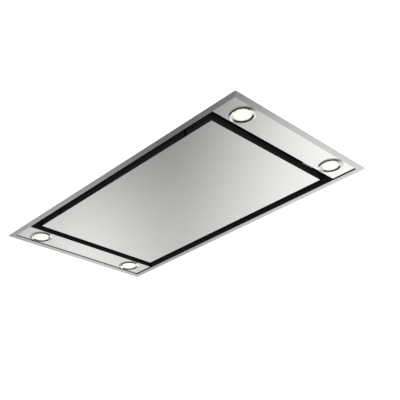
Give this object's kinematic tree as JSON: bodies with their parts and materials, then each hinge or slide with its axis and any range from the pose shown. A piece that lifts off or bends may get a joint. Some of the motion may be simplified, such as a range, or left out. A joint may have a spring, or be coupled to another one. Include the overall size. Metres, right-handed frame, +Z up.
{
  "type": "ceiling range hood",
  "caption": "Recessed ceiling range hood: brushed steel trim, swing-down panel with edge suction slots, LED spots, grease filters, blower housing with duct outlet.",
  "frame": {"origin": "centre of the ceiling cut-out, on the ceiling's lower face", "axes": "+Z up into the ceiling, +X along the long side to the right, +Y to the back; the panel's hinges are at the front, -Y"},
  "size_m": [0.9, 0.5, 0.3645],
  "materials": {
    "stainless": "fine brushed stainless sheet",
    "polished_steel": "polished steel",
    "black_steel": "satin black powder coat",
    "galvanised": "zinc spangle",
    "filter_aluminium": "folded aluminium mesh",
    "lamp_aluminium": "cast heat sink",
    "lamp_glass": "frosted warm white diffuser",
    "grey_plastic": "moulded",
    "black_plastic": "moulded",
    "motor_paint": "dark motor enamel"
  },
  "bodies": {
    "hood": {"trim_frame": "stainless", "light_plate_left": "stainless", "light_plate_right": "stainless", "hinge_pin_left": "polished_steel", "hinge_pin_right": "polished_steel", "catch_clip_left": "polished_steel", "catch_clip_right": "polished_steel", "flap_pin": "polished_steel", "lamp_bezel_front_left": "polished_steel", "lamp_bezel_front_right": "polished_steel", "lamp_bezel_back_left": "polished_steel", "lamp_bezel_back_right": "polished_steel", "clamp_screw_front_left": "polished_steel", "clamp_screw_front_right": "polished_steel", "clamp_screw_back_left": "polished_steel", "clamp_screw_back_right": "polished_steel", "canopy_frame": "black_steel", "canopy_deck": "black_steel", "hinge_bracket_left": "black_steel", "hinge_bracket_right": "black_steel", "housing_body": "galvanised", "housing_cover": "galvanised", "scroll_wrap": "galvanised", "scroll_side_left": "galvanised", "scroll_side_right": "galvanised", "motor_spider": "galvanised", "control_box": "galvanised", "control_cover": "galvanised", "lamp_housing_front_left": "lamp_aluminium", "lamp_housing_front_right": "lamp_aluminium", "lamp_housing_back_left": "lamp_aluminium", "lamp_housing_back_right": "lamp_aluminium", "lamp_lens_front_left": "lamp_glass", "lamp_lens_front_right": "lamp_glass", "lamp_lens_back_left": "lamp_glass", "lamp_lens_back_right": "lamp_glass", "led_driver": "grey_plastic", "outlet_collar": "black_plastic", "cable_gland": "black_plastic", "motor": "motor_paint"},
    "panel": {"panel_face": "stainless", "panel_liner": "black_steel", "hinge_arm_left": "black_steel", "hinge_arm_right": "black_steel", "catch_stud_left": "polished_steel", "catch_stud_right": "polished_steel"},
    "filter_left": {"filter_frame_left": "filter_aluminium", "filter_mesh_left": "filter_aluminium", "filter_knob_left": "black_plastic"},
    "filter_right": {"filter_frame_right": "filter_aluminium", "filter_mesh_right": "filter_aluminium", "filter_knob_right": "black_plastic"},
    "fan": {"impeller": "grey_plastic"},
    "front_flap": {"flap_front": "grey_plastic"},
    "back_flap": {"flap_back": "grey_plastic"},
    "clamp_front_left": {"ceiling_clamp_front_left": "galvanised"},
    "clamp_front_right": {"ceiling_clamp_front_right": "galvanised"},
    "clamp_back_left": {"ceiling_clamp_back_left": "galvanised"},
    "clamp_back_right": {"ceiling_clamp_back_right": "galvanised"}
  },
  "joints": [
    {"name": "panel_hinge", "type": "hinge", "parent": "hood", "child": "panel", "pos_m": [0, -0.195, 0.012], "axis": [-1, 0, 0], "range_deg": [0, 85]},
    {"name": "filter_left_push", "type": "slide", "parent": "hood", "child": "filter_left", "axis": [0, 1, 0], "range_m": [0, 0.008], "stiffness_N_per_m": 400, "springref_m": -0.01},
    {"name": "filter_right_push", "type": "slide", "parent": "hood", "child": "filter_right", "axis": [0, 1, 0], "range_m": [0, 0.008], "stiffness_N_per_m": 400, "springref_m": -0.01},
    {"name": "fan_spin", "type": "hinge", "parent": "hood", "child": "fan", "pos_m": [0, -0.07152, 0.2061], "axis": [1, 0, 0], "continuous": true},
    {"name": "flap_front_swing", "type": "hinge", "parent": "hood", "child": "front_flap", "pos_m": [0, 0, 0.3166], "axis": [-1, 0, 0], "range_deg": [0, 75]},
    {"name": "flap_back_swing", "type": "hinge", "parent": "hood", "child": "back_flap", "pos_m": [0, 0, 0.3166], "axis": [1, 0, 0], "range_deg": [0, 75]},
    {"name": "clamp_front_left_slide", "type": "slide", "parent": "hood", "child": "clamp_front_left", "axis": [0, 0, 1], "range_m": [0, 0.025]},
    {"name": "clamp_front_right_slide", "type": "slide", "parent": "hood", "child": "clamp_front_right", "axis": [0, 0, 1], "range_m": [0, 0.025]},
    {"name": "clamp_back_left_slide", "type": "slide", "parent": "hood", "child": "clamp_back_left", "axis": [0, 0, 1], "range_m": [0, 0.025]},
    {"name": "clamp_back_right_slide", "type": "slide", "parent": "hood", "child": "clamp_back_right", "axis": [0, 0, 1], "range_m": [0, 0.025]}
  ]
}
